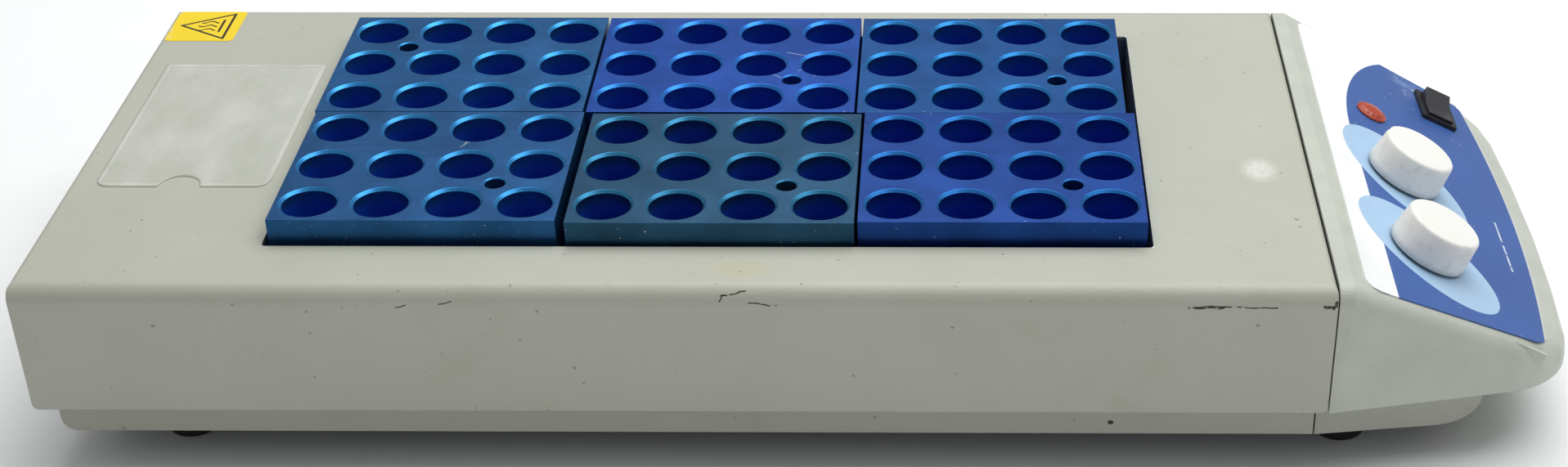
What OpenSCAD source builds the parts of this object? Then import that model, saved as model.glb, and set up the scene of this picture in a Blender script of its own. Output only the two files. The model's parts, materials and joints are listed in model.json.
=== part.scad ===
// Six-block dry block heater with analogue controls.
// X runs along the body towards the control end, Y across it, Z up from the surface it stands on.

/* [Body] */
// Overall length, tail end of the cover to the tip of the control end
body_l = 515.5; // [500:0.5:540]
// Width over the cover
body_w = 209.4; // [206:0.2:230]
// Height of the cover above the table
cover_z = 72; // [72:0.5:80]
// Length of the folded cover
cover_l = 427.3; // [420:0.1:430]
// Height of the cover's lower edge above the table
skirt_z = 25.2; // [23:0.1:27]
// Thickness of the sheet metal
sheet = 1.2; // [0.8:0.1:1.5]
// Outside radius of the cover's long bends
bend_r = 6; // [4:0.5:8]

/* [Base] */
// Inset of the base band from the cover's sides
band_inset = 5; // [4.5:0.1:7]
// Height of the base band's lower edge above the table
band_z = 13.3; // [12.8:0.1:14]
// Thickness of the bottom plate
plate_t = 1.1; // [0.8:0.1:1.2]
// Diameter of a foot where it meets the plate
foot_d = 19; // [16:0.5:22]
// Distance between the feet along the body
foot_pitch_x = 394; // [360:1:400]
// Distance between the feet across the body
foot_pitch_y = 153.4; // [130:0.2:160]

/* [Well] */
// Length of the opening for the blocks
well_l = 293.9; // [293.9:0.1:296]
// Width of the opening for the blocks
well_w = 156.4; // [156.4:0.1:158]
// Centre of the opening along the body
well_x = -34.7; // [-35:0.1:-34]
// Centre of the opening across the body
well_y = 1; // [0.8:0.1:1.2]
// Thickness of the heater plate under the blocks
heater_t = 3.2; // [3:0.1:4]

/* [Blocks] */
// Length of a block
block_l = 95.25; // [94:0.05:95.3]
// Width of a block
block_w = 76.2; // [75:0.1:76.2]
// Height of a block
block_h = 50.8; // [48:0.1:52]
// Diameter of a tube bore
bore_d = 18.2; // [16:0.1:20]
// Depth of a tube bore
bore_depth = 48; // [40:0.5:48]
// Distance between the bores along a block
bore_pitch_x = 24; // [22:0.1:24.2]
// Distance between the bores across a block
bore_pitch_y = 26; // [22:0.1:26]
// Diameter of the thermometer hole
probe_d = 7; // [5:0.1:7.5]
// Depth of the thermometer hole
probe_depth = 44; // [30:1:46]
// Width of the chamfer at each bore mouth
mouth_chamfer = 1; // [0.5:0.1:1.2]

/* [Control end] */
// Slope of the control panel, in degrees
panel_tilt = 26; // [25:0.5:27]
// Wall thickness of the moulded housing
shell_t = 2.5; // [2:0.1:3]
// Gap between the cover and the housing
seam_gap = 0.5; // [0.3:0.1:1]
// Corner radius of the housing seen from above
nose_r = 28; // [24:1:32]
// Radius of the bow across the tip
bow_r = 693; // [600:1:900]
// Diameter of a knob at its foot
knob_d = 28.4; // [24:0.2:30]
// Height of a knob
knob_h = 12; // [10:0.5:16]
// Distance between the knobs
knob_pitch = 52.1; // [48:0.1:56]
// Full swing of the rocker switch, in degrees
rocker_swing = 20; // [16:1:22]

/* [Hidden] */
$fn = 64;

eps = 0.01;
tail_x = -body_l / 2;
tip_x = body_l / 2;
seam_x = tail_x + cover_l;
half_w = body_w / 2;

// Heights of the stack under the blocks
pan_floor = band_z + sheet;
block_z = cover_z + 8 - block_h;
mat_t = 1.5;
mat_z = block_z - heater_t - mat_t;
liner_t = 1;
liner_clear = 0.3;
side_t = 11;
sensor_x = 82;

// Supply, at the tail: places are [across, up]
inlet_at = [28, 52];
fuse_at = [-14, 52];
inlet_w = 27;
inlet_h = 20;
channel_y = 95.4;
lead_y = 26;
wire_d = 2.2;

// Base band
band_tail = tail_x + 6.3;
band_seam = seam_x - 3.3;
band_half = half_w - band_inset;
band_bend = 5;
band_top = 40;
band_tip = tip_x - 30;
band_nose_r = 24;
foot_mid_x = -18.4;

// Control panel: its flat starts where the short level top ends
panel_x = seam_x + 5.3;
nose_centre_x = tip_x - 31;
nose_centre_y = 64.5;
lip_r = 7.5;
overlay_t = 0.4;
overlay_start = 5;
overlay_end = 83.2;

// Places on the panel: [down the slope, across]
knob_high_at = [34.6, -3.2];
knob_low_at = [34.6, -3.2 - knob_pitch];
lamp_at = [29.1, 40.5];
switch_at = [62.1, 69];
knob_gap = 1;
shaft_r = 3;
bushing_r = 4.7;

// Control board
board_z = 22;
board_l = 34;
board_w = 96;
board_x = 206;
board_y = 0;

// Card pocket
pocket_l = 60.2;
pocket_w = 92.8;

// Rocker switch
switch_l = 21;
switch_w = 15;
rocker_l = 16.4;
rocker_w = 10.4;
rocker_pivot = 0.5;
trunnion_r = 1.2;

// ---------------------------------------------------------------- shared shapes

// A rectangle centred in x, standing on y = 0, with its two top corners rounded
module arch(w, h, r) {
    translate([-w / 2, 0]) square([w, h - r]);
    translate([-w / 2 + r, 0]) square([w - 2 * r, h]);
    for (side = [-1, 1]) translate([side * (w / 2 - r), h - r]) circle(r);
}

// A rectangle centred on the origin with rounded corners
module rounded_rect(l, w, r) {
    square([l - 2 * r, w], center = true);
    square([l, w - 2 * r], center = true);
    for (x = [-1, 1], y = [-1, 1]) translate([x * (l / 2 - r), y * (w / 2 - r)]) circle(r);
}

// Stands a profile drawn in (Y, Z) along X
module along_x(x, length) translate([x, 0, 0]) rotate([90, 0, 90]) linear_extrude(length) children();

// Stands a profile drawn in (X, Z) across Y
module across_y(y, length) translate([0, y + length, 0]) rotate([90, 0, 0]) linear_extrude(length) children();

// A wire with round elbows through a list of points
module wire(points, d)
    for (i = [0:len(points) - 2])
        hull() {
            translate(points[i]) sphere(d = d, $fn = 8);
            translate(points[i + 1]) sphere(d = d, $fn = 8);
        }

// Places its children on the panel: s down the slope, t across, h out of it
module on_panel(at, h = 0)
    translate([panel_x, 0, cover_z]) rotate([0, panel_tilt, 0]) translate([at.x, at.y, h]) children();

// A pan-head screw pointing up, its head's underside at z = 0
module screw_up(d, length, head_d, head_h) {
    cylinder(d = d, h = length);
    translate([0, 0, -head_h])
        difference() {
            cylinder(d = head_d, h = head_h);
            translate([0, 0, -eps]) cylinder(d = d * 0.6, h = head_h * 0.6, $fn = 6);
        }
}

module at_feet()
    for (x = [-1, 1], y = [-1, 1])
        translate([foot_mid_x + x * foot_pitch_x / 2, y * foot_pitch_y / 2, 0]) children();

module at_posts()
    for (x = [-1, 1], y = [-1, 1])
        translate([well_x + x * 138, well_y + y * 70, 0]) children();

// ---------------------------------------------------------------- body

module top_cover() color("#c6c8bc")
    difference() {
        intersection() {
            along_x(tail_x, cover_l)
                translate([0, skirt_z])
                    difference() {
                        arch(body_w, cover_z - skirt_z, bend_r);
                        translate([0, -eps]) arch(body_w - 2 * sheet, cover_z - skirt_z - sheet + eps, bend_r - sheet);
                    }
            // the walls' lower tail corners are rounded
            across_y(-body_w, 2 * body_w)
                translate([tail_x + cover_l / 2, (skirt_z + cover_z) / 2])
                    rounded_rect(cover_l, cover_z - skirt_z, 2);
        }
        translate([well_x, well_y, cover_z - 2 * sheet]) linear_extrude(3 * sheet) rounded_rect(well_l, well_w, 1.5);
    }

module rear_end_panel() color("#b9bbae")
    difference() {
        union() {
            along_x(tail_x + 1, sheet)
                translate([0, skirt_z + 0.4])
                    arch(body_w - 2 * sheet - 0.4, cover_z - skirt_z - sheet - 0.6, bend_r - sheet);
            // the return flange along the lower edge reaches in to the base pan
            translate([tail_x + 1 + sheet, -band_half, skirt_z + 0.4]) cube([4, 2 * band_half, sheet]);
        }
        along_x(tail_x, 5) translate(inlet_at) rounded_rect(inlet_w + 0.2, inlet_h + 0.2, 3);
        along_x(tail_x, 5) translate(fuse_at) circle(d = 12.8);
        // ventilation slots
        for (side = [-1, 1], i = [0:5])
            along_x(tail_x, 5) translate([side * 76 - 12.5 + i * 5, 48]) rounded_rect(2, 22, 0.9);
    }

module well_liner() color("#b4b6b8")
    translate([well_x, well_y, 0])
        difference() {
            union() {
                translate([0, 0, pan_floor])
                    linear_extrude(cover_z - sheet - pan_floor)
                        rounded_rect(well_l + 2 * liner_t, well_w + 2 * liner_t, 2.5);
                // spot-weld flange under the cover
                translate([0, 0, cover_z - sheet - liner_t])
                    linear_extrude(liner_t) rounded_rect(well_l + 14, well_w + 14, 4);
            }
            translate([0, 0, pan_floor - 1]) linear_extrude(cover_z) rounded_rect(well_l, well_w, 1.5);
            translate([-well_x, -well_y, 0]) lead_channels();
        }

// ---------------------------------------------------------------- base

module base_pan() color("#888a7e")
    difference() {
        across_y(-band_half, 2 * band_half)
            union() {
                translate([band_tail, band_z + band_bend])
                    square([band_seam - band_tail, band_top - band_z - band_bend]);
                translate([band_tail + band_bend, band_z]) square([band_seam - band_tail - band_bend, band_bend]);
                translate([band_tail + band_bend, band_z + band_bend]) circle(band_bend);
            }
        across_y(-band_half + sheet, 2 * (band_half - sheet))
            translate([sheet, sheet])
                union() {
                    translate([band_tail, band_z + band_bend - sheet]) square([band_seam - band_tail, band_top]);
                    translate([band_tail + band_bend - sheet, band_z]) square([band_seam - band_tail, band_top]);
                    translate([band_tail + band_bend - sheet, band_z + band_bend - sheet]) circle(band_bend - sheet);
                }
        at_feet() cylinder(d = 4.3, h = 2 * band_z);
        earth_at() cylinder(d = 4.3, h = 2 * band_z);
        at_posts() cylinder(d = 4.3, h = 2 * band_z);
        at_clips() translate([0, -5, 33]) rotate([-90, 0, 0]) cylinder(d = 3.2, h = 10);
    }

// The plate's plan: square at the tail, following the control base at the tip
module bottom_outline()
    hull() {
        translate([band_tail + 8, -band_half + 3]) square([band_seam - band_tail - 8, 2 * band_half - 6]);
        for (side = [-1, 1]) translate([band_tip - 30, side * 72]) circle(20);
    }

module bottom_plate() color("#1b1b1d")
    translate([0, 0, band_z - plate_t])
        difference() {
            linear_extrude(plate_t) bottom_outline();
            at_feet() translate([0, 0, -1]) cylinder(d = 4.3, h = 4);
            at_posts() translate([0, 0, -1]) cylinder(d = 4.3, h = 4);
            for (x = [-1, 1], i = [0:7])
                translate([x * 60 - 30, -42 + i * 12, -1]) linear_extrude(4) rounded_rect(40, 3, 1.4);
            at_housing_screws() translate([0, 0, -1]) cylinder(d = 3.4, h = 4);
        }

module at_clips()
    for (x = [-230, -110, 40, 155], side = [-1, 1])
        translate([x, side * band_half, 0]) mirror([0, side < 0 ? 1 : 0, 0]) children();

module cover_clips() color("#9a9c9e")
    at_clips()
        difference() {
            translate([-9, 0, 28]) cube([18, band_inset - sheet, 10]);
            translate([0, -1, 33]) rotate([-90, 0, 0]) cylinder(d = 3, h = 10);
        }

module clip_screws() color("#b8babc")
    at_clips()
        translate([0, -sheet, 33]) rotate([-90, 0, 0]) screw_up(3, sheet + band_inset - sheet - 0.4, 5.6, 2);

module feet() color("#141415")
    at_feet()
        difference() {
            rotate_extrude()
                union() {
                    square([foot_d / 2 - 2, band_z - plate_t]);
                    translate([0, 1.5]) square([foot_d / 2 - 0.5, band_z - plate_t - 1.5]);
                    translate([foot_d / 2 - 2, 1.5]) circle(1.5);
                    translate([0, band_z - plate_t - 3]) square([foot_d / 2, 3]);
                }
            translate([0, 0, -1]) cylinder(d = 4.3, h = 20);
            translate([0, 0, -1]) cylinder(d = 9, h = 7);
        }

module foot_screws() color("#a8aaac")
    at_feet() {
        translate([0, 0, 6]) screw_up(4, 13, 7.6, 2.4);
        translate([0, 0, pan_floor])
            difference() {
                cylinder(d = 8, h = 3.2, $fn = 6);
                translate([0, 0, -1]) cylinder(d = 4, h = 6);
            }
    }

// ---------------------------------------------------------------- heater stack

module heater_plate() color("#b9bbbd")
    difference() {
        translate([well_x, well_y, block_z - heater_t])
            linear_extrude(heater_t)
                rounded_rect(well_l - 2 * liner_clear, well_w - 2 * liner_clear, 1.5);
        at_posts() translate([0, 0, mat_z]) cylinder(d = 4.3, h = 20);
        at_posts() translate([0, 0, block_z - 2.2]) cylinder(d1 = 4.3, d2 = 8.3, h = 2.2 + eps);
    }

module heater_mat() color("#a8502c")
    difference() {
        translate([well_x, well_y, mat_z]) linear_extrude(mat_t) rounded_rect(well_l - 12, well_w - 10, 4);
        at_posts() translate([0, 0, mat_z - 1]) cylinder(d = 12, h = 4);
        pocket_void(mat_z - 1, mat_z + mat_t + 1);
    }

// The sensor and the cut-out sit in one clear pocket near the control end
module pocket_void(z0, z1)
    translate([sensor_x - 14, -32, z0]) cube([28, 64, z1 - z0]);

module plate_posts() color("#c9cacc")
    at_posts()
        difference() {
            translate([0, 0, pan_floor]) cylinder(d = 9, h = block_z - heater_t - pan_floor);
            translate([0, 0, pan_floor - 1]) cylinder(d = 4, h = 30);
        }

module plate_screws() color("#8d8f92")
    at_posts() {
        // countersunk screw through the heater plate
        difference() {
            union() {
                translate([0, 0, block_z - 2.2]) cylinder(d1 = 4, d2 = 8, h = 2.1);
                translate([0, 0, block_z - 9]) cylinder(d = 4, h = 8);
            }
            translate([0, 0, block_z - 1.4]) cylinder(d = 2.5, h = 2, $fn = 6);
        }
        // pan-head screw up through the base
        translate([0, 0, band_z - plate_t]) screw_up(4, 6, 7, 2.2);
    }

module insulation_pad() color("#e6e1d2")
    difference() {
        translate([well_x, well_y, pan_floor])
            linear_extrude(mat_z - pan_floor) rounded_rect(well_l - 1, well_w - 1, 1.5);
        at_posts() translate([0, 0, pan_floor - 1]) cylinder(d = 10, h = 20);
        pocket_void(pan_floor - 1, mat_z + 1);
        lead_channels();
    }

module side_insulation() color("#ddd7c5") {
    out_l = well_l + 2 * liner_t;
    out_w = well_w + 2 * liner_t;
    for (side = [-1, 1]) {
        translate([well_x - out_l / 2, well_y + side * (out_w + side_t + 0.6) / 2 - side_t / 2, pan_floor])
            cube([out_l, side_t, 48]);
        difference() {
            translate([well_x + side * (out_l + side_t + 0.6) / 2 - side_t / 2, well_y - out_w / 2, pan_floor])
                cube([side_t, out_w, 48]);
            lead_channels();
        }
    }
}

module temperature_sensor() color("#cfd1d3")
    translate([sensor_x, -22, block_z - heater_t - 3.2]) rotate([-90, 0, 0]) cylinder(d = 4, h = 20);

module sensor_clamp() color("#a9abad")
    translate([sensor_x, -18, 0])
        difference() {
            translate([-6, 0, block_z - heater_t - 6]) cube([12, 10, 6]);
            translate([0, -1, block_z - heater_t - 3.2]) rotate([-90, 0, 0]) cylinder(d = 4, h = 20);
        }

module thermal_cutout() color("#3b3a38")
    translate([sensor_x, 18, 0]) {
        translate([0, 0, block_z - heater_t - 6]) cylinder(d = 16, h = 6);
        for (side = [-1, 1])
            translate([side * 5 - 0.4, -3, block_z - heater_t - 10]) cube([0.8, 6, 4 + eps]);
    }

// ---------------------------------------------------------------- supply

module power_inlet() color("#19191b") {
    along_x(tail_x + 0.1, 0.9)
        translate(inlet_at)
            difference() {
                rounded_rect(inlet_w + 3, inlet_h + 3, 3.5);
                rounded_rect(inlet_w - 3, inlet_h - 3, 2.5);
            }
    difference() {
        along_x(tail_x + 1 - eps, 20) translate(inlet_at) rounded_rect(inlet_w, inlet_h, 3);
        along_x(tail_x, 17) translate(inlet_at) rounded_rect(inlet_w - 3, inlet_h - 3, 2.5);
    }
    // blade contacts inside the inlet, tails behind it
    for (i = [-1:1])
        translate([tail_x + 6, inlet_at.x + i * 7 - 1, inlet_at.y - 2 + (i == 0 ? 3 : -1)]) cube([20, 2, 4]);
}

module fuse_holder() color("#202022")
    translate([0, fuse_at.x, fuse_at.y]) rotate([0, 90, 0]) {
        translate([0, 0, tail_x + 0.1]) cylinder(d = 15, h = 0.9);
        translate([0, 0, tail_x + 1 - eps]) cylinder(d = 12.6, h = 30);
    }

// Mains wires run from the inlet along the channel behind the back insulation
module mains_wires() color("#7a3b22")
    for (i = [0:2])
        wire([
            [tail_x + 27.2, inlet_at.x + (i - 1) * 7, inlet_at.y + (i == 1 ? 3 : -1)],
            [tail_x + 33 + 3 * i, inlet_at.x + (i - 1) * 7, inlet_at.y + (i == 1 ? 3 : -1)],
            [tail_x + 33 + 3 * i, 80, 34 - 3 * i],
            [tail_x + 40 + 3 * i, channel_y, 24 - 3 * i],
            [176, channel_y, 24 - 3 * i],
            [184, 44 - 5 * i, 29],
            [board_x - 18, 38.5 - 5 * i, board_z + 5.6],
            [board_x - 10.2, 38.5 - 5 * i, board_z + 5.6]
        ], wire_d);

// The heater's leads leave the mat in the pocket and run low to the terminal block
module heater_wires() color("#d9d5cc")
    for (side = [-1, 1])
        wire([
            [sensor_x + 12.8, lead_y * side, mat_z - 0.4],
            [sensor_x + 12.8, lead_y * side, pan_floor + 3],
            [board_x - 24, lead_y * side, pan_floor + 3],
            [board_x - 19.5, 21 + 2.5 * side, pan_floor + 4],
            [board_x - 19.5, 21 + 2.5 * side, board_z + 5.6],
            [board_x - 10.2, 21 + 2.5 * side, board_z + 5.6]
        ], wire_d);

// Channels that let the leads out under the pad, the liner and the side insulation
module lead_channels()
    for (side = [-1, 1])
        translate([sensor_x + 13, lead_y * side - 2.5, pan_floor - 1]) cube([32, 5, 6]);

module wire_clips() color("#e8e6de")
    for (x = [-160, -40, 80])
        translate([x - 4, channel_y - 2.1, 0])
            difference() {
                translate([0, 0, pan_floor]) cube([8, 5.2, 14.5]);
                translate([-1, 0.8, pan_floor + 1.5]) cube([10, 2.6, 11]);
            }

module earth_at() translate([-206, 60, 0]) children();
module earth_stud() color("#c9a24a")
    earth_at() {
        translate([0, 0, band_z]) cylinder(d = 4, h = 14);
        translate([0, 0, pan_floor])
            difference() {
                cylinder(d = 8, h = 3.2, $fn = 6);
                translate([0, 0, -1]) cylinder(d = 4 - eps, h = 6);
            }
    }

// ---------------------------------------------------------------- control end

// Half of the housing's plan at a distance from the middle line is bowed by bow_r
function bow_x(y) = tip_x - y * y / (2 * bow_r);

module housing_plan(inset, start)
    hull() {
        translate([start, -half_w + inset]) square([1, 2 * (half_w - inset)]);
        for (side = [-1, 1]) translate([nose_centre_x, side * nose_centre_y]) circle(nose_r - inset);
        for (y = [-48:16:48]) translate([bow_x(y) - inset - 1, y]) square([1, eps], center = false);
    }

// Height of the panel's plane over a place along the body
function panel_z(x) = cover_z - tan(panel_tilt) * (x - panel_x);

module lip_ball(x, y, r)
    translate([x, y, panel_z(x) - lip_r / cos(panel_tilt)]) sphere(r, $fn = 28);

module housing_form(inset, start)
    intersection() {
        translate([0, -body_w, skirt_z]) cube([body_l, 2 * body_w, cover_z]);
        hull() {
            translate([0, 0, skirt_z]) linear_extrude(2) housing_plan(inset, start);
            for (side = [-1, 1]) {
                along_x(start, panel_x - inset * tan(panel_tilt / 2) - start)
                    translate([side * (half_w - bend_r), cover_z - bend_r]) circle(bend_r - inset, $fn = 32);
                for (turn = [4, 30, 56, 78])
                    lip_ball(
                        nose_centre_x + (nose_r - lip_r) * cos(turn),
                        side * (nose_centre_y + (nose_r - lip_r) * sin(turn)),
                        lip_r - inset
                    );
            }
            for (y = [-36:36:36]) lip_ball(bow_x(y) - lip_r, y, lip_r - inset);
        }
    }

// A rib under the panel, from the level top down to the lip
module panel_rib(t)
    hull() {
        on_panel([10, t], -5) cylinder(r = 0.8, h = 4, $fn = 12);
        on_panel([76, t], -5) cylinder(r = 0.8, h = 4, $fn = 12);
    }

module control_housing() color("#bfc1b3")
    difference() {
        union() {
            difference() {
                housing_form(0, seam_x + seam_gap);
                housing_form(shell_t, seam_x - 1);
                translate([0, 0, skirt_z - 5]) linear_extrude(5 + 2) housing_plan(shell_t, seam_x - 1);
            }
            for (t = [-88, -29, 22, 56, 88]) panel_rib(t);
        }
        for (at = [knob_high_at, knob_low_at]) on_panel(at, -10) cylinder(r = bushing_r + 0.2, h = 20);
        on_panel(lamp_at, -10) cylinder(d = 9.2, h = 20);
        on_panel(switch_at, -10) linear_extrude(20) square([switch_w - 1.8, switch_l - 1.8], center = true);
    }

module control_overlay() color("#3f66a8")
    difference() {
        on_panel([0, 0]) linear_extrude(overlay_t)
            hull() {
                for (side = [-1, 1]) {
                    translate([overlay_start + 5, side * 92.4]) circle(5);
                    translate([overlay_end - 13.6, side * 77.4]) circle(8);
                }
                for (y = [-60:20:60]) translate([overlay_end - 0.1 - y * y / 1120, y]) circle(0.1, $fn = 8);
            }
        for (at = [knob_high_at, knob_low_at]) on_panel(at, -1) cylinder(r = bushing_r + 0.2, h = 3);
        on_panel(lamp_at, -1) cylinder(d = 9.2, h = 3);
        on_panel(switch_at, -1) linear_extrude(3) square([switch_w - 1.8, switch_l - 1.8], center = true);
    }

// Plan of the control base's narrow tray
module tray_plan(inset, start)
    hull() {
        translate([start, -band_half + inset]) square([1, 2 * (band_half - inset)]);
        for (side = [-1, 1])
            translate([band_tip - band_nose_r, side * (band_half - band_nose_r - 5)]) circle(band_nose_r - inset);
    }

module at_housing_screws()
    for (side = [-1, 1]) translate([192, side * 84, 0]) children();

module control_base() color("#8b8d81")
    difference() {
        union() {
            translate([0, 0, band_z]) linear_extrude(skirt_z + 0.2 - band_z) tray_plan(0, band_seam + seam_gap);
            // the wide flange closes the housing's underside
            translate([0, 0, skirt_z + 0.2]) linear_extrude(2) housing_plan(shell_t + 0.2, seam_x + seam_gap);
        }
        translate([0, 0, pan_floor]) linear_extrude(20) tray_plan(2, band_seam - 1);
        at_housing_screws() cylinder(d = 3.4, h = 30);
        at_feet() cylinder(d = 4.3, h = 2 * band_z);
    }

// Two tall bosses stand on the tray and carry the housing's screws
module housing_screws() color("#a3a5a8")
    at_housing_screws() {
        translate([0, 0, band_z - plate_t]) screw_up(3.2, 12, 6, 2.2);
        translate([0, 0, pan_floor])
            difference() {
                cylinder(d = 8, h = 39);
                translate([0, 0, -1]) cylinder(d = 3.2, h = 20);
            }
    }

module at_board_corners()
    for (x = [-1, 1], y = [-1, 1])
        translate([board_x + x * (board_l / 2 - 4), board_y + y * (board_w / 2 - 4), 0]) children();

module control_board() color("#2f6b3c")
    difference() {
        translate([board_x, board_y, board_z]) linear_extrude(1.6) rounded_rect(board_l, board_w, 2);
        at_board_corners() translate([0, 0, board_z - 1]) cylinder(d = 3.2, h = 4);
    }

module board_standoffs() color("#d0b060")
    at_board_corners() {
        translate([0, 0, pan_floor]) cylinder(d = 6, h = board_z - pan_floor);
        translate([0, 0, board_z]) cylinder(d = 3, h = 1.6);
        translate([0, 0, board_z + 1.6]) cylinder(d = 5.4, h = 1.8);
    }

module terminal_block() color("#3e7a4e")
    translate([board_x - 12, 16, board_z + 1.6])
        difference() {
            cube([10, 25, 10]);
            for (i = [0:4]) translate([5, 2.5 + 5 * i, 6]) cylinder(d = 3, h = 6);
            for (i = [0:4]) translate([-1, 1 + 5 * i, 2]) cube([4, 3, 4]);
        }

module triac_heatsink() color("#8f9193")
    translate([board_x - 8, -40, board_z + 1.6]) {
        cube([2, 34, 14]);
        for (i = [0:5]) translate([2 - eps, 1 + 6 * i, 2]) cube([10, 1.6, 12]);
        translate([-4, 12, 3]) cube([4 + eps, 10, 11]);
    }

module thermostat(at) {
    difference() {
        union() {
            on_panel(at, -shell_t - 11) cylinder(d = 20, h = 11 - eps);
            on_panel(at, -shell_t - 1) cylinder(r = bushing_r, h = shell_t + overlay_t + 3.6);
        }
        on_panel(at, -shell_t - 8) cylinder(r = shaft_r + 0.05, h = 30);
    }
    for (i = [-1:1]) on_panel(at, -shell_t - 9) translate([9, i * 5 - 1, 0]) cube([7, 2, 0.8]);
}
module thermostat_high() color("#4a4a4d") thermostat(knob_high_at);
module thermostat_low() color("#4a4a4d") thermostat(knob_low_at);

module thermostat_nuts() color("#c4c6c8")
    for (at = [knob_high_at, knob_low_at])
        on_panel(at, overlay_t)
            difference() {
                cylinder(d = 13.8, h = 2.2, $fn = 6);
                translate([0, 0, -1]) cylinder(r = bushing_r, h = 5);
            }

module shaft(at)
    on_panel(at, -shell_t - 7.5) cylinder(r = shaft_r, h = 5 + shell_t + overlay_t + knob_gap + knob_h);
module shaft_high() color("#c9cbcd") shaft(knob_high_at);
module shaft_low() color("#c9cbcd") shaft(knob_low_at);

// A hollow tapered knob: skirt, crown and a hub that grips the shaft
module knob(at) on_panel(at, overlay_t + knob_gap)
    difference() {
        rotate_extrude()
            difference() {
                union() {
                    polygon([
                        [0, 0], [knob_d / 2, 0], [knob_d / 2 - 0.75, knob_h - 1.2],
                        [knob_d / 2 - 2, knob_h], [0, knob_h]
                    ]);
                    translate([knob_d / 2 - 1.97, knob_h - 1.22]) circle(1.22);
                }
                translate([6.5, -1]) square([knob_d / 2 - 8.6, knob_h - 1.4]);
                translate([-eps, -1]) square([6.5 + 2 * eps, 4.6]);
            }
        translate([0, 0, -1]) cylinder(r = shaft_r, h = knob_h - 1.5);
    }
module knob_high() color("#e4e2d8") knob(knob_high_at);
module knob_low() color("#e4e2d8") knob(knob_low_at);

module pilot_lens() color("#e2552b")
    on_panel(lamp_at, overlay_t)
        rotate_extrude()
            union() {
                square([6, 1]);
                square([5.2, 1.6]);
                square([4.2, 2.4]);
            }

module pilot_body() color("#2a2a2c")
    on_panel(lamp_at, -14) {
        cylinder(d = 9, h = 14 + overlay_t);
        for (side = [-1, 1]) translate([-0.4, side * 2.4 - 1, -5]) cube([0.8, 2, 5 + eps]);
    }

module switch_housing() color("#161618") {
    difference() {
        union() {
            on_panel(switch_at, overlay_t) linear_extrude(1.6) rounded_rect(switch_w, switch_l, 0.8);
            on_panel(switch_at, -13)
                linear_extrude(13 + overlay_t + eps)
                    square([switch_w - 2, switch_l - 2], center = true);
        }
        on_panel(switch_at, -9) linear_extrude(20) square([rocker_w + 0.6, rocker_l + 1.6], center = true);
        on_panel(switch_at, rocker_pivot)
            translate([-(rocker_w + 2.2) / 2, 0, 0])
                rotate([0, 90, 0]) cylinder(r = trunnion_r + 0.05, h = rocker_w + 2.2);
    }
    for (i = [-1:1]) on_panel(switch_at, -19) translate([-2.5, i * 6 - 0.4, 0]) cube([5, 0.8, 6 + eps]);
}

// The rocker rests with its near half pressed; the joint swings it the other way
module switch_rocker() color("#101012")
    on_panel(switch_at, rocker_pivot) rotate([rocker_swing / 2, 0, 0]) {
        translate([-rocker_w / 2, 0, 0])
            rotate([90, 0, 90])
                linear_extrude(rocker_w)
                    polygon([
                        [-rocker_l / 2, 0], [-rocker_l / 2, 4], [-1.2, 2.7], [1.2, 2.7], [rocker_l / 2, 4],
                        [rocker_l / 2, 0], [4, -4.5], [-4, -4.5]
                    ]);
        translate([-(rocker_w + 2) / 2, 0, 0]) rotate([0, 90, 0]) cylinder(r = trunnion_r, h = rocker_w + 2);
    }

// ---------------------------------------------------------------- blocks

// One block centred on its own middle; the thermometer hole lies between four bores
module dry_block(x, y, turned, tint) color(tint)
    translate([x, y, block_z]) rotate([0, 0, turned ? 180 : 0])
        difference() {
            translate([-block_l / 2, -block_w / 2, 0]) cube([block_l, block_w, block_h]);
            for (i = [-1.5:1.5], j = [-1:1])
                translate([i * bore_pitch_x, j * bore_pitch_y, block_h]) mouth(bore_d, bore_depth, mouth_chamfer);
            translate([bore_pitch_x, -bore_pitch_y / 2, block_h]) mouth(probe_d, probe_depth, 0.4);
        }

// A blind hole going down from z = 0, with a 45 degree chamfer at its mouth
module mouth(d, depth, chamfer) {
    translate([0, 0, -depth]) cylinder(d = d, h = depth + 1);
    translate([0, 0, -chamfer]) cylinder(d1 = d, d2 = d + 2 * (chamfer + eps), h = chamfer + eps);
}

module block_back_left() dry_block(-132.85, 40.6, true, "#2f5d92");
module block_back_middle() dry_block(-36.45, 40.2, false, "#3a5c9c");
module block_back_right() dry_block(59.75, 39.9, false, "#2d5590");
module block_front_left() dry_block(-132.05, -36.1, false, "#33576f");
module block_front_middle() dry_block(-33.65, -37.4, false, "#2f5b8d");
module block_front_right() dry_block(62.65, -36.5, false, "#2d5191");

// ---------------------------------------------------------------- on the cover

module heat_symbol_label() color("#f2e332")
    translate([tail_x + 14.9, 87.2, cover_z]) linear_extrude(0.15) rounded_rect(26.3, 25.6, 2);

module card_pocket() color("#d4d6cc")
    translate([tail_x + 39.1, 8.1, cover_z])
        difference() {
            linear_extrude(1.2) rounded_rect(pocket_l, pocket_w, 3);
            // the card slips in between the two films from the near edge
            translate([-pocket_l / 2 + 2, -pocket_w / 2 - 1, 0.35]) cube([pocket_l - 4, pocket_w - 2, 0.5]);
            translate([-0.6, -pocket_w / 2 - 0.5, 0.6]) cylinder(r = 7.3, h = 2);
        }

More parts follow.
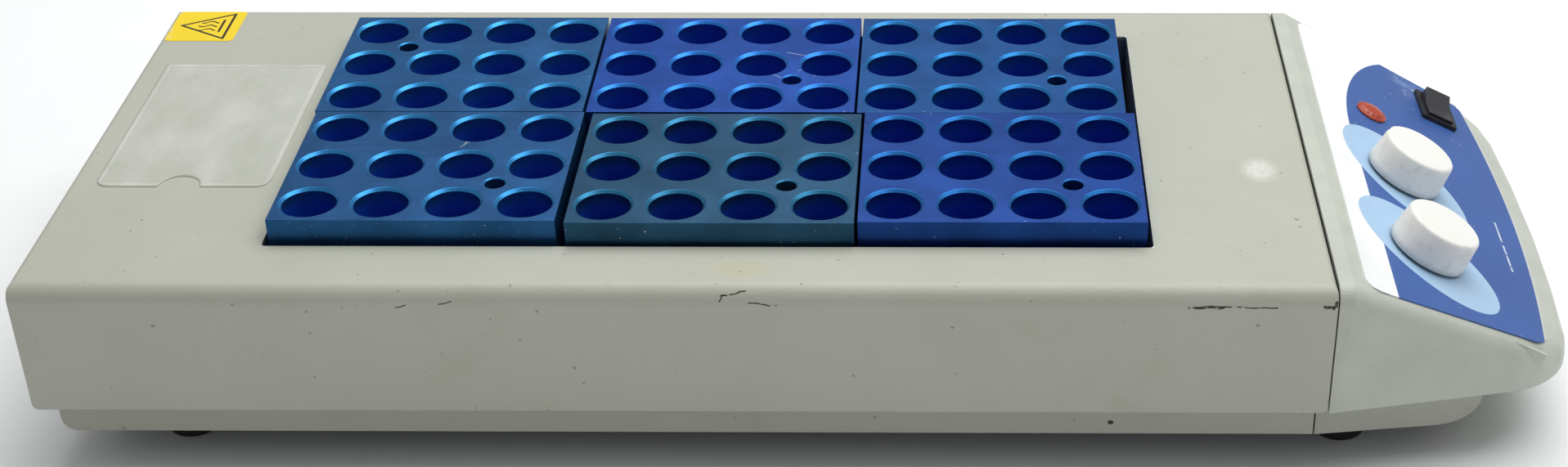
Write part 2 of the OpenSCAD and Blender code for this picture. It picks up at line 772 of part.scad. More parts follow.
top_cover();
rear_end_panel();
well_liner();
base_pan();
bottom_plate();
cover_clips();
clip_screws();
feet();
foot_screws();
heater_plate();
heater_mat();
plate_posts();
plate_screws();
insulation_pad();
side_insulation();
temperature_sensor();
sensor_clamp();
thermal_cutout();
power_inlet();
fuse_holder();
mains_wires();
heater_wires();
wire_clips();
earth_stud();
control_housing();
control_base();
housing_screws();
control_overlay();
control_board();
board_standoffs();
terminal_block();
triac_heatsink();
thermostat_high();
thermostat_low();
thermostat_nuts();
pilot_lens();
pilot_body();
switch_housing();
switch_rocker();
knob_high();
shaft_high();
knob_low();
shaft_low();
block_back_left();
block_back_middle();
block_back_right();
block_front_left();
block_front_middle();
block_front_right();
heat_symbol_label();
card_pocket();
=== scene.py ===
"""Looks of a six-block dry block heater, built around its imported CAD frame.

Everything is in metres in the frame of the CAD model: X runs along the body towards the
control end, Y across it and Z up. Finishes work in millimetres, measured from the same origin.
"""
from __future__ import annotations

import json
import logging
import math
from dataclasses import dataclass, field
from enum import Enum
from typing import Callable, Iterable, Sequence, Union

import bmesh
import bpy
from mathutils import Euler, Matrix, Vector


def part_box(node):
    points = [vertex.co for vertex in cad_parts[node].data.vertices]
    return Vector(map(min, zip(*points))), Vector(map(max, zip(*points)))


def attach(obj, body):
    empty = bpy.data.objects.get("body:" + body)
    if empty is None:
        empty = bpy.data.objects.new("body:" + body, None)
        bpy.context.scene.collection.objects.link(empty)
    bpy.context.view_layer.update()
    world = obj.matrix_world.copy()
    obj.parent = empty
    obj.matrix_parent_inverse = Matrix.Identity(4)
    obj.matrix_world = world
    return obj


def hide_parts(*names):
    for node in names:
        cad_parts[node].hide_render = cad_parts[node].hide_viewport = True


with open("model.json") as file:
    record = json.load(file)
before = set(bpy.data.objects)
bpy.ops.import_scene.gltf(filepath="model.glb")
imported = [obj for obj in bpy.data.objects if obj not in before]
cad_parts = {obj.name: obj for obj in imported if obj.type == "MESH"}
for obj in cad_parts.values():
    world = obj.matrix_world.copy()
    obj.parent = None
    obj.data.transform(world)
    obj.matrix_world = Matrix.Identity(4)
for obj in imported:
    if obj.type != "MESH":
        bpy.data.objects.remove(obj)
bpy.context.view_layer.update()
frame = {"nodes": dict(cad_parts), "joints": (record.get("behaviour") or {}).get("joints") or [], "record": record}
MM = 0.001

# The regular pattern of bores in a block, in millimetres
BORE_PITCH_X = 24.0
BORE_PITCH_Y = 26.0
BORE_RADIUS = 9.1

log = logging.getLogger("dry_block_heater")
Colour = tuple[float, float, float]


def shade(red: int, green: int, blue: int) -> Colour:
    """Linear colour of an 8-bit display colour.

    Args:
        red: from 0 to 255.
        green: from 0 to 255.
        blue: from 0 to 255.

    Returns:
        The colour.
    """
    return tuple(
        c / 12.92 if c <= 0.04045 else ((c + 0.055) / 1.055) ** 2.4
        for c in (red / 255, green / 255, blue / 255)
    )


# ------------------------------------------------------------------ shader tools


class Value:
    """One output of a material's nodes, on which arithmetic adds Math nodes."""

    def __init__(self, shader: "Shader", socket: bpy.types.NodeSocket) -> None:
        """Wraps a socket of that shader."""
        self.shader = shader
        self.socket = socket

    def _math(self, operation: str, first: "Number", second: "Number" = 0.0) -> "Value":
        """A Math node with that operation."""
        return self.shader.add("ShaderNodeMath", {"operation": operation}, {0: first, 1: second})

    def __add__(self, other: "Number") -> "Value":
        """self + other."""
        return self._math("ADD", self, other)

    __radd__ = __add__

    def __sub__(self, other: "Number") -> "Value":
        """self - other."""
        return self._math("SUBTRACT", self, other)

    def __rsub__(self, other: "Number") -> "Value":
        """other - self."""
        return self._math("SUBTRACT", other, self)

    def __mul__(self, other: "Number") -> "Value":
        """self * other."""
        return self._math("MULTIPLY", self, other)

    __rmul__ = __mul__

    def __truediv__(self, other: "Number") -> "Value":
        """self / other."""
        return self._math("DIVIDE", self, other)

    def __rtruediv__(self, other: "Number") -> "Value":
        """other / self."""
        return self._math("DIVIDE", other, self)

    def __pow__(self, power: "Number") -> "Value":
        """self raised to a power."""
        return self._math("POWER", self, power)

    def __abs__(self) -> "Value":
        """Its size without its sign."""
        return self._math("ABSOLUTE", self)

    def root(self) -> "Value":
        """Its square root."""
        return self._math("SQRT", self)

    def fraction(self) -> "Value":
        """What is left above the whole number below it."""
        return self._math("FRACT", self)

    def least(self, other: "Number") -> "Value":
        """The smaller of the two."""
        return self._math("MINIMUM", self, other)

    def most(self, other: "Number") -> "Value":
        """The larger of the two."""
        return self._math("MAXIMUM", self, other)

    def rise(self, low: float, high: float) -> "Value":
        """A smooth step from 0 at low to 1 at high, or down where low is above high.

        Args:
            low: where it is 0.
            high: where it is 1.

        Returns:
            The step.
        """
        flip = low > high
        ends = {1: min(low, high), 2: max(low, high), 3: float(flip), 4: float(not flip)}
        settings = {"interpolation_type": "SMOOTHSTEP"}
        return self.shader.add("ShaderNodeMapRange", settings, {0: self, **ends})


Number = Union[float, Value]
Line = tuple[tuple[float, float, float, float], float]
Point = tuple[float, float]


class Shader:
    """A material whose surface is one Principled shader."""

    def __init__(self, name: str) -> None:
        """Starts a material of that name."""
        self.material = bpy.data.materials.new(name)
        self.material.use_nodes = True
        self.tree = self.material.node_tree
        self.surface = self.tree.nodes["Principled BSDF"]
        place = self.add("ShaderNodeTexCoord", output="Object")
        scale = {"operation": "SCALE"}
        self.place = self.add("ShaderNodeVectorMath", scale, {"Vector": place, "Scale": 1 / MM})
        self.x = self.add("ShaderNodeSeparateXYZ", {}, {0: self.place}, "X")
        self.y = self.add("ShaderNodeSeparateXYZ", {}, {0: self.place}, "Y")
        self.z = self.add("ShaderNodeSeparateXYZ", {}, {0: self.place}, "Z")

    def add(self, kind: str, settings: dict | None = None, inputs: dict | None = None,
            output: int | str = 0) -> Value:
        """Adds one node.

        Args:
            kind: the node's type.
            settings: properties of the node, set first.
            inputs: socket name or number to a value or a link.
            output: the output to return.

        Returns:
            The chosen output.
        """
        node = self.tree.nodes.new(kind)
        for name, setting in (settings or {}).items():
            setattr(node, name, setting)
        for key, value in (inputs or {}).items():
            self.feed(node.inputs[key], value)
        return Value(self, node.outputs[output])

    def feed(self, socket: bpy.types.NodeSocket, value: Number | Sequence[float]) -> None:
        """Sets a socket to a number or colour, or links a value to it.

        Args:
            socket: the socket to set.
            value: what it gets.
        """
        if isinstance(value, Value):
            self.tree.links.new(value.socket, socket)
        elif socket.type == "RGBA" and len(value) == 3:
            socket.default_value = (*value, 1.0)
        else:
            socket.default_value = value

    def noise(self, grain: float, detail: float = 2.0,
              stretch: Sequence[float] | None = None) -> Value:
        """Cloudy noise from 0 to 1.

        Args:
            grain: size of its features, in millimetres.
            detail: octaves of finer noise.
            stretch: scale of the place along each axis, for streaks.

        Returns:
            The noise.
        """
        place = self.place
        if stretch:
            place = self.add("ShaderNodeVectorMath", {"operation": "MULTIPLY"}, {0: place, 1: stretch})
        inputs = {"Vector": place, "Scale": 1 / grain, "Detail": detail, "Roughness": 0.55}
        return self.add("ShaderNodeTexNoise", {}, inputs)

    def mix(self, share: Number, first: Value | Colour, second: Value | Colour) -> Value:
        """A colour between two, by a share from 0 to 1."""
        return self.add("ShaderNodeMix", {"data_type": "RGBA"}, {0: share, 6: first, 7: second}, 2)

    def facing(self, axis: str) -> Value:
        """How far the surface faces along an axis of the object, from -1 to 1."""
        normal = self.add("ShaderNodeTexCoord", output="Normal")
        return self.add("ShaderNodeSeparateXYZ", {}, {0: normal}, axis)

    def spot(self, drawn: tuple[Value, Value], size: tuple[float, float], soft: float = 0.3) -> Value:
        """1 inside an ellipse and 0 outside.

        Args:
            drawn: the two coordinates, measured from the ellipse's centre.
            size: its half lengths.
            soft: width of its edge, as a share of its size.

        Returns:
            The mask.
        """
        far = ((drawn[0] / size[0]) ** 2 + (drawn[1] / size[1]) ** 2).root()
        return far.rise(1 + soft / 2, 1 - soft / 2)

    def stroke(self, drawn: tuple[Value, Value], ends: Sequence[float], width: float,
               soft: float = 0.15) -> Value:
        """1 on a straight stroke and 0 beside it.

        Args:
            drawn: the two coordinates that it is drawn in.
            ends: both coordinates of its start, and both of its end.
            width: its width.
            soft: width of its edge.

        Returns:
            The mask.
        """
        start_u, start_v, end_u, end_v = ends
        run_u, run_v = end_u - start_u, end_v - start_v
        off_u, off_v = drawn[0] - start_u, drawn[1] - start_v
        along = (off_u * run_u + off_v * run_v) / (run_u ** 2 + run_v ** 2)
        along = along.most(0.0).least(1.0)
        far = ((off_u - along * run_u) ** 2.0 + (off_v - along * run_v) ** 2.0).root()
        return far.rise(width / 2 + soft, width / 2)

    def strokes(self, drawn: tuple[Value, Value], lines: Sequence[Line], soft: float = 0.15) -> Value:
        """1 on any of several strokes and 0 beside them.

        Args:
            drawn: the two coordinates that they are drawn in.
            lines: both ends and the width of each.
            soft: width of their edges.

        Returns:
            The mask.
        """
        masks = [self.stroke(drawn, ends, width, soft) for ends, width in lines]
        union = masks[0]
        for mask in masks[1:]:
            union = union.most(mask)
        return union

    def relief(self, height: Value, depth: float, strength: float = 1.0, round_edges: float = 0.0) -> None:
        """Gives the surface a relief.

        Args:
            height: from 0 to 1.
            depth: its depth in millimetres.
            strength: how strongly it shows.
            round_edges: radius that sharp edges seem to have, in millimetres.
        """
        inputs = {"Height": height, "Distance": depth * MM, "Strength": strength}
        if round_edges:
            inputs["Normal"] = self.add("ShaderNodeBevel", {"samples": 4}, {"Radius": round_edges * MM})
        self.feed(self.surface.inputs["Normal"], self.add("ShaderNodeBump", {}, inputs))

    def finish(self, **sockets: Number | Sequence[float]) -> bpy.types.Material:
        """Sets the shader's sockets, with _ for a space in a name.

        Args:
            sockets: socket names to values or links.

        Returns:
            The finished material.
        """
        for name, value in sockets.items():
            self.feed(self.surface.inputs[name.replace("_", " ")], value)
        return self.material


# ------------------------------------------------------------------ finishes


@dataclass(frozen=True)
class Finish:
    """A plain finish with some grain, which the others build on.

    Lengths are in millimetres: grain is the size of its finest features, depth the depth of its
    relief and edge the radius that sharp edges seem to have. mottle is how far its colour varies.
    """

    name: str
    colour: Colour
    roughness: float = 0.5
    metallic: float = 0.0
    grain: float = 1.2
    depth: float = 0.03
    edge: float = 0.0
    mottle: float = 0.06

    def material(self) -> bpy.types.Material:
        """Makes the finish's material.

        Returns:
            The material.
        """
        shader = Shader(self.name)
        fine = shader.noise(self.grain)
        broad = shader.noise(self.grain * 18, 3.0)
        dark = tuple(c * (1 - self.mottle) for c in self.colour)
        light = tuple(min(1.0, c * (1 + self.mottle / 2)) for c in self.colour)
        shader.relief(fine, self.depth, 0.7, self.edge)
        return shader.finish(
            Base_Color=shader.mix(broad.rise(0.3, 0.7), dark, light),
            Roughness=fine * 0.12 + (self.roughness - 0.06) + broad * 0.04,
            Metallic=self.metallic,
        )


@dataclass(frozen=True)
class PaintedSheet(Finish):
    """Textured paint on sheet steel, with stains, specks and scratches down to the metal."""

    cut_edges: bool = False

    # each scratch: along and up at both ends, and its width
    bend_scratches: tuple[Line, ...] = (
        ((122.5, 67.0, 133.5, 67.2), 0.9), ((133.0, 67.3, 150.5, 66.9), 0.35),
        ((-27.5, 70.2, -19.5, 71.3), 0.22), ((-28.0, 68.6, -26.8, 70.4), 0.22),
        ((-18.5, 68.1, -9.5, 67.4), 0.28), ((-132.0, 66.4, -129.0, 67.3), 0.25),
        ((-118.0, 67.6, -114.0, 68.3), 0.2), ((165.8, 67.1, 169.3, 67.6), 1.1),
        ((168.6, 66.6, 169.4, 69.0), 0.8), ((99.0, 18.6, 99.6, 18.8), 1.3),
    )

    def scratches(self, shader: Shader) -> Value:
        """Dark scratches along the front bend and chips near the seam.

        Args:
            shader: the material that they are drawn in.

        Returns:
            Their mask.
        """
        drawn = (shader.x + shader.noise(2.0) * 0.8, shader.z + shader.noise(5.0) * 1.6)
        broken = shader.noise(0.9, 3.0, (0.35, 1.0, 1.0)).rise(0.36, 0.46)
        front = shader.y.rise(-97.5, -98.5)
        return shader.strokes(drawn, self.bend_scratches) * broken * front

    def bare_edge(self, shader: Shader) -> Value:
        """The cut edge of the well's opening, where the paint has worn off.

        Args:
            shader: the material that it is drawn in.

        Returns:
            Its mask.
        """
        low, high = (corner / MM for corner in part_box("heater_plate"))
        middle, half = (low + high) / 2, (high - low) / 2
        inside = abs(shader.x - middle.x).rise(half.x + 0.55, half.x + 0.4)
        across = abs(shader.y - middle.y).rise(half.y + 0.55, half.y + 0.4)
        return inside * across * shader.noise(3.0, 3.0, (1.0, 1.0, 0.2)).rise(0.3, 0.5)

    def stains(self, shader: Shader, colour: Value) -> Value:
        """Adds a yellowish stain and a pale rub to the cover's top.

        Args:
            shader: the material that they are drawn in.
            colour: the colour under them.

        Returns:
            The stained colour.
        """
        level = shader.facing("Z").rise(0.6, 0.9)
        stain = shader.spot((shader.x + 22.0, shader.y + 91.0), (9.0, 5.0), 0.9) * level
        colour = shader.mix(stain * 0.4, colour, shade(190, 182, 138))
        smudge = shader.spot((shader.x - 152.0, shader.y + 25.0), (5.0, 6.5), 1.2)
        return shader.mix(smudge * shader.noise(2.0, 3.0), colour, shade(238, 240, 232))

    def material(self) -> bpy.types.Material:
        """Makes the paint's material.

        Returns:
            The material.
        """
        shader = Shader(self.name)
        peel = shader.noise(self.grain, 3.0)
        swell = shader.noise(7.0, 2.0)
        cloud = shader.noise(46.0, 4.0).rise(0.3, 0.72)
        grime = shader.noise(24.0, 5.0).rise(0.56, 0.8)
        specks = shader.noise(2.6, 1.0).rise(0.765, 0.80)
        dull = tuple(c * f for c, f in zip(self.colour, (0.95, 0.95, 0.93)))
        dirt = tuple(c * f for c, f in zip(self.colour, (0.80, 0.77, 0.68)))
        colour = shader.mix(cloud, dull, self.colour)
        colour = shader.mix(grime * 0.35, colour, dirt)
        colour = shader.mix(specks * 0.55, colour, shade(88, 84, 72))
        colour = self.stains(shader, colour)
        scratch = self.scratches(shader)
        colour = shader.mix(scratch, colour, shade(58, 46, 36))
        metallic: Number = 0.0
        if self.cut_edges:
            bare = self.bare_edge(shader)
            colour = shader.mix(bare * 0.8, colour, shade(222, 224, 222))
            metallic = bare * 0.7
        shader.relief(peel * 0.75 + swell * 0.35 - scratch * 0.8, self.depth, 0.8, self.edge)
        return shader.finish(
            Base_Color=colour, Metallic=metallic,
            Roughness=peel * 0.16 + (self.roughness - 0.08) + grime * 0.1 + scratch * 0.2,
        )


@dataclass(frozen=True)
class AnodisedBlock(Finish):
    """Dyed anodised aluminium of one block, with nicks and scratches, a painted highlight on its chamfers and
    painted shade in its bores.
    """

    node: str = ""
    scratched: tuple[tuple[float, float, float, float], ...] = ()

    def bores(self, along: Value, across: Value) -> Value:
        """1 inside the bores' outlines.

        Args:
            along: place along the block, from its middle.
            across: place across the block, from its middle.

        Returns:
            The mask.
        """
        cell_x = abs((along / BORE_PITCH_X).fraction() - 0.5) * BORE_PITCH_X
        cell_y = abs((across / BORE_PITCH_Y + 0.5).fraction() - 0.5) * BORE_PITCH_Y
        reach = (cell_x ** 2.0 + cell_y ** 2.0).root()
        return reach.rise(BORE_RADIUS + 0.25, BORE_RADIUS + 0.05)

    def nicks(self, shader: Shader, along: Value, across: Value, half: Vector, level: Value) -> Value:
        """White nicks, thickest near the block's edges, and its scratches.

        Args:
            shader: the material that they are drawn in.
            along: place along the block, from its middle.
            across: place across the block, from its middle.
            half: half the block's size.
            level: 1 on the block's top.

        Returns:
            Their mask.
        """
        rim = abs(abs(along) - half.x).least(abs(abs(across) - half.y)).rise(3.0, 0.6)
        nick = shader.noise(1.5, 2.0).rise(0.72, 0.76) * rim + shader.noise(1.9, 1.0).rise(0.82, 0.85)
        for ends in self.scratched:
            nick = nick + shader.stroke((along, across), ends, 0.16, 0.14) * level
        return nick.least(1.0)

    def material(self) -> bpy.types.Material:
        """Makes the block's material, fitted to its bores.

        Returns:
            The material.
        """
        low, high = (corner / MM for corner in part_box(self.node))
        middle, half = (low + high) / 2, (high - low) / 2
        shader = Shader(self.name)
        along, across = shader.x - middle.x, shader.y - middle.y
        up = shader.facing("Z")
        chamfer = up.rise(0.35, 0.6) * up.rise(0.98, 0.85)
        # painted shade: inside the bores, below the chamfers, the colour turns a darker, more saturated blue with
        # less metal, more so the deeper it goes
        depth = shader.z.rise(high.z - 1.0, high.z - 7.0)
        bore_painted_shade = self.bores(along, across) * (1 - chamfer) * depth
        turning = shader.noise(0.55, 2.0, (0.05, 1.0, 1.0))
        cloud = shader.noise(19.0, 4.0).rise(0.28, 0.75)
        rub = shader.noise(7.0, 5.0, (1.0, 0.35, 1.0)).rise(0.62, 0.8) * 0.22
        nick = self.nicks(shader, along, across, half, up.rise(0.8, 0.95))
        pale = tuple(min(1.0, c * 1.28 + 0.004) for c in self.colour)
        deep = tuple(c * 0.8 for c in self.colour)
        # painted highlight: the chamfers, picked out by how far they face up, get a brighter, bluer copy of the
        # dye
        chamfer_highlight = tuple(min(1.0, c * 1.35 + more) for c, more in zip(self.colour, (0.02, 0.16, 0.28)))
        colour = shader.mix(cloud * 0.75 + turning * 0.25, deep, pale)
        colour = shader.mix(chamfer * 0.85, colour, chamfer_highlight)
        # painted shade in the bores
        colour = shader.mix(bore_painted_shade * 0.8, colour, shade(14, 66, 196))
        colour = shader.mix(rub, colour, pale)
        colour = shader.mix(nick * 0.75, colour, shade(196, 206, 216))
        shader.relief(turning * 0.5 + shader.noise(0.35) * 0.5 - nick * 0.8, self.depth, 0.5, self.edge)
        return shader.finish(
            Base_Color=colour, Metallic=self.metallic - 0.5 * bore_painted_shade, Specular_IOR_Level=0.45,
            Roughness=turning * 0.14 + (self.roughness - 0.07) + rub * 0.3,
        )


@dataclass(frozen=True)
class PanelPrint(Finish):
    """The printed film on the control panel: a white strip, a blue field and two pale dials."""

    origin: tuple[float, float, float] = (0.0, 0.0, 0.0)
    tilt: float = 0.0
    knobs: tuple[tuple[float, float], ...] = ()

    # half lengths of a dial's ellipse, and how far its middle lies below the knob's
    dial_size: tuple[float, float] = (31.5, 19.2)
    dial_drop: float = 1.3
    dial_turns: tuple[float, ...] = (-57.0, -48.7)
    # each mark: down and across at both ends
    marks: tuple[tuple[float, float, float, float], ...] = (
        (54.0, 80.4, 57.0, 80.4), (55.5, 60.0, 55.5, 60.01),
        (73.0, -40.0, 73.0, -23.0), (73.0, -20.0, 73.0, -7.0),
        (50.0, 73.0, 50.0, 76.6), (51.9, 63.0, 52.0, 63.01),
    )
    mark_width: float = 0.7

    def blue_field(self, down: Value, across: Value) -> Value:
        """The blue field, whose edge is straight and then a quarter of an ellipse.

        Args:
            down: place down the slope.
            across: place across the panel.

        Returns:
            Its mask.
        """
        rise = ((across - 20.0).most(0.0) / 80.0) ** 2.0
        edge = 62.0 - (1 - rise).most(0.0).root() * 45.0
        return (down - edge).rise(-0.15, 0.15)

    def dial(self, shader: Shader, down: Value, across: Value, knob: tuple[float, float],
             turn: float) -> Value:
        """The tilted ellipse around one knob.

        Args:
            shader: the material that it is drawn in.
            down: place down the slope.
            across: place across the panel.
            knob: the knob's place.
            turn: the ellipse's turn in degrees.

        Returns:
            Its mask.
        """
        cosine, sine = math.cos(math.radians(turn)), math.sin(math.radians(turn))
        off_down, off_across = down - (knob[0] + self.dial_drop), across - knob[1]
        long = off_down * cosine + off_across * sine
        short = off_across * cosine - off_down * sine
        return shader.spot((long, short), self.dial_size, 0.012)

    def material(self) -> bpy.types.Material:
        """Makes the film's material.

        Returns:
            The material.
        """
        shader = Shader(self.name)
        cosine, sine = math.cos(self.tilt), math.sin(self.tilt)
        down = (shader.x - self.origin[0]) * cosine - (shader.z - self.origin[2]) * sine
        across = shader.y
        cloud = shader.noise(30.0, 3.0).rise(0.3, 0.7)
        blue = shader.mix(cloud, tuple(c * 0.9 for c in self.colour), self.colour)
        white = shader.mix(cloud, shade(244, 245, 245), shade(252, 252, 252))
        colour = shader.mix(self.blue_field(down, across), white, blue)
        pale = shader.mix(shader.noise(14.0, 4.0), shade(160, 194, 226), shade(184, 212, 238))
        for knob, turn in zip(self.knobs, self.dial_turns):
            colour = shader.mix(self.dial(shader, down, across, knob, turn), colour, pale)
        bow = (down + across * across / 1120.0).rise(82.0, 82.3)
        colour = shader.mix(abs(across).rise(96.6, 96.9).most(bow), colour, shade(200, 205, 202))
        marks = shader.strokes((down, across), [(ends, self.mark_width) for ends in self.marks])
        worn = shader.noise(3.2, 4.0).rise(0.34, 0.56)
        colour = shader.mix(marks * worn * 0.8, colour, shade(226, 236, 246))
        haze = shader.spot((down - 52.0, across - 82.0), (7.0, 9.0), 1.4)
        haze = haze * shader.noise(5.0, 4.0).rise(0.35, 0.75)
        colour = shader.mix(haze * 0.5, colour, shade(150, 172, 206))
        specks = shader.noise(1.7, 1.0).rise(0.77, 0.8)
        colour = shader.mix(specks * 0.5, colour, shade(236, 240, 244))
        shader.relief(shader.noise(0.5) * 0.5 + cloud * 0.5, self.depth, 0.5)
        return shader.finish(Base_Color=colour, Roughness=cloud * 0.1 + 0.32 + haze * 0.2)


@dataclass(frozen=True)
class HeatLabel(Finish):
    """A yellow sticker with a triangle around three heat waves over a bar, and no words."""

    apex: float = -9.6
    right: float = 8.9
    half_side: float = 10.7
    apex_across: float = 0.5
    wave_rows: tuple[float, ...] = (-3.0, 0.2, 3.4)

    def ink(self, shader: Shader, along: Value, across: Value) -> Value:
        """The printed triangle, waves and bar.

        Args:
            shader: the material that they are drawn in.
            along: place along the body, from the sticker's middle.
            across: place across the body, from the sticker's middle.

        Returns:
            Their mask.
        """
        tip, top, bottom = (
            (self.apex, self.apex_across), (self.right, self.half_side), (self.right, -self.half_side))
        sides = [((*start, *end), 0.95) for start, end in ((tip, top), (top, bottom), (bottom, tip))]
        ink = shader.strokes((along, across), sides, 0.12)
        sway = shader.add("ShaderNodeMath", {"operation": "SINE"}, {0: along * 1.05}) * 0.75
        for row in self.wave_rows:
            wave = abs(across - row - sway).rise(0.55, 0.38)
            reach = 4.6 - abs(row) * 0.25
            ink = ink.most(wave * along.rise(1.4 - reach, 1.6 - reach) * along.rise(4.4, 4.2))
        return ink.most(shader.stroke((along, across), (5.9, -4.8, 5.9, 5.2), 0.9, 0.12))

    def material(self) -> bpy.types.Material:
        """Makes the sticker's material, fitted to its node.

        Returns:
            The material.
        """
        low, high = (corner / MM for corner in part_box("heat_symbol_label"))
        middle = (low + high) / 2
        shader = Shader(self.name)
        along, across = shader.x - middle.x, shader.y - middle.y
        ink = self.ink(shader, along, across)
        worn = shader.noise(4.0, 4.0).rise(0.62, 0.75)
        colour = shader.mix(shader.noise(9.0, 3.0), self.colour, tuple(c * 0.92 for c in self.colour))
        colour = shader.mix(ink * (1 - worn * 0.6), colour, shade(58, 46, 24))
        edge = (along + across * 0.15).rise(-12.2, -13.4) * shader.noise(2.4, 4.0).rise(0.42, 0.6)
        colour = shader.mix(edge, colour, shade(228, 222, 196))
        shader.relief(shader.noise(1.4, 3.0), self.depth, 0.5)
        return shader.finish(Base_Color=colour, Roughness=worn * 0.2 + 0.34)


@dataclass(frozen=True)
class ClearFilm(Finish):
    """Clear vinyl that has yellowed a little, with a frosted weld along its rim."""

    def material(self) -> bpy.types.Material:
        """Makes the film's material, fitted to the card pocket.

        Returns:
            The material.
        """
        low, high = (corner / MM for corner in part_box("card_pocket"))
        middle, half = (low + high) / 2, (high - low) / 2
        shader = Shader(self.name)
        inset = (half.x - abs(shader.x - middle.x)).least(half.y - abs(shader.y - middle.y))
        weld = inset.rise(2.1, 1.7) * inset.rise(0.5, 0.8)
        stripes = (shader.x * 0.9 + shader.y * 0.9).fraction().rise(0.4, 0.6)
        cloud = shader.noise(17.0, 4.0, (1.0, 0.5, 1.0)).rise(0.3, 0.75)
        rim = inset.rise(0.7, 0.2)
        ripple = shader.noise(11.0, 3.0, (1.0, 0.4, 1.0))
        shader.relief(ripple + weld * stripes * 0.2, self.depth, 0.8)
        return shader.finish(
            Base_Color=shader.mix(cloud, self.colour, shade(236, 238, 230)),
            Alpha=cloud * 0.16 + 0.4 + weld * 0.2 + rim * 0.3,
            Roughness=cloud * 0.16 + 0.16 + weld * 0.25, Specular_IOR_Level=0.6,
        )


@dataclass(frozen=True)
class WornKnob(Finish):
    """Off-white moulded plastic, rubbed bright on its crown and soiled down its skirt, with painted shade in a
    band round its foot.
    """

    axis: tuple[float, float, float] = (0.0, 0.0, 1.0)
    foot: tuple[float, float, float] = (0.0, 0.0, 0.0)

    def material(self) -> bpy.types.Material:
        """Makes the knob's material, measured up its own axis.

        Returns:
            The material.
        """
        shader = Shader(self.name)
        lift = (shader.x - self.foot[0]) * self.axis[0] + (shader.z - self.foot[2]) * self.axis[2]
        grime = shader.noise(3.4, 5.0).rise(0.42, 0.8) * lift.rise(12.6, 9.0)
        # painted shade: a darker band round the knob's foot, where it meets the panel
        ring = lift.rise(2.2, 0.2)
        colour = shader.mix(shader.noise(8.0, 3.0), self.colour, tuple(c * 0.94 for c in self.colour))
        colour = shader.mix(grime * 0.3, colour, shade(196, 191, 176))
        colour = shader.mix(ring * 0.35, colour, shade(150, 146, 134))
        chips = shader.noise(2.1, 3.0).rise(0.66, 0.74) * lift.rise(9.6, 10.6) * lift.rise(13.2, 12.6)
        colour = shader.mix(chips * 0.5, colour, shade(190, 186, 172))
        grain = shader.noise(0.8, 3.0) * 0.5 + shader.noise(4.0) * 0.5
        shader.relief(grain - chips * 0.5, self.depth, 0.7)
        return shader.finish(
            Base_Color=colour, Roughness=grime * 0.2 + 0.42,
            Subsurface_Weight=0.06, Subsurface_Radius=(0.002, 0.0018, 0.0014), Specular_IOR_Level=0.4,
        )


# ------------------------------------------------------------------ mesh tools


def placed(name: str, mesh: bmesh.types.BMesh, material: bpy.types.Material) -> bpy.types.Object:
    """Turns a bmesh into an object of the scene.

    Args:
        name: the piece's name.
        mesh: its geometry, which is used up.
        material: its finish.

    Returns:
        The new object.
    """
    data = bpy.data.meshes.new(name)
    bmesh.ops.recalc_face_normals(mesh, faces=mesh.faces)
    mesh.to_mesh(data)
    mesh.free()
    data.materials.append(material)
    for face in data.polygons:
        face.use_smooth = True
    piece = bpy.data.objects.new(name, data)
    bpy.context.scene.collection.objects.link(piece)
    return piece


def turned(outline: Iterable[Point], steps: int = 96,
           wobble: Callable[[float, float, float], float] | None = None) -> bmesh.types.BMesh:
    """A solid of revolution about Z, closed at both ends.

    Args:
        outline: radius and height of each ring in millimetres, the first and last near the axis.
        steps: facets around.
        wobble: an extra radius for an angle, radius and height.

    Returns:
        The solid, in metres.
    """
    mesh = bmesh.new()
    rings = []
    for radius, height in outline:
        ring = []
        for i in range(steps):
            angle = 2 * math.pi * i / steps
            reach = radius + (wobble(angle, radius, height) if wobble else 0.0)
            place = Vector((reach * math.cos(angle), reach * math.sin(angle), height))
            ring.append(mesh.verts.new(place * MM))
        rings.append(ring)
    for lower, upper in zip(rings, rings[1:]):
        for i in range(steps):
            j = (i + 1) % steps
            mesh.faces.new((lower[i], lower[j], upper[j], upper[i]))
    mesh.faces.new(list(reversed(rings[0])))
    mesh.faces.new(rings[-1])
    return mesh


def arc(centre: Point, radius: float, start: float, end: float, steps: int = 6) -> list[Point]:
    """Points along an arc.

    Args:
        centre: its centre.
        radius: its radius.
        start: its first angle in degrees.
        end: its last angle in degrees.
        steps: spans along it.

    Returns:
        The points.
    """
    turns = [math.radians(start + (end - start) * i / steps) for i in range(steps + 1)]
    return [(centre[0] + radius * math.cos(a), centre[1] + radius * math.sin(a)) for a in turns]


# ------------------------------------------------------------------ sub-assemblies


class Marking(Enum):
    """The two dials of the control panel."""

    HIGH = "high"
    LOW = "low"


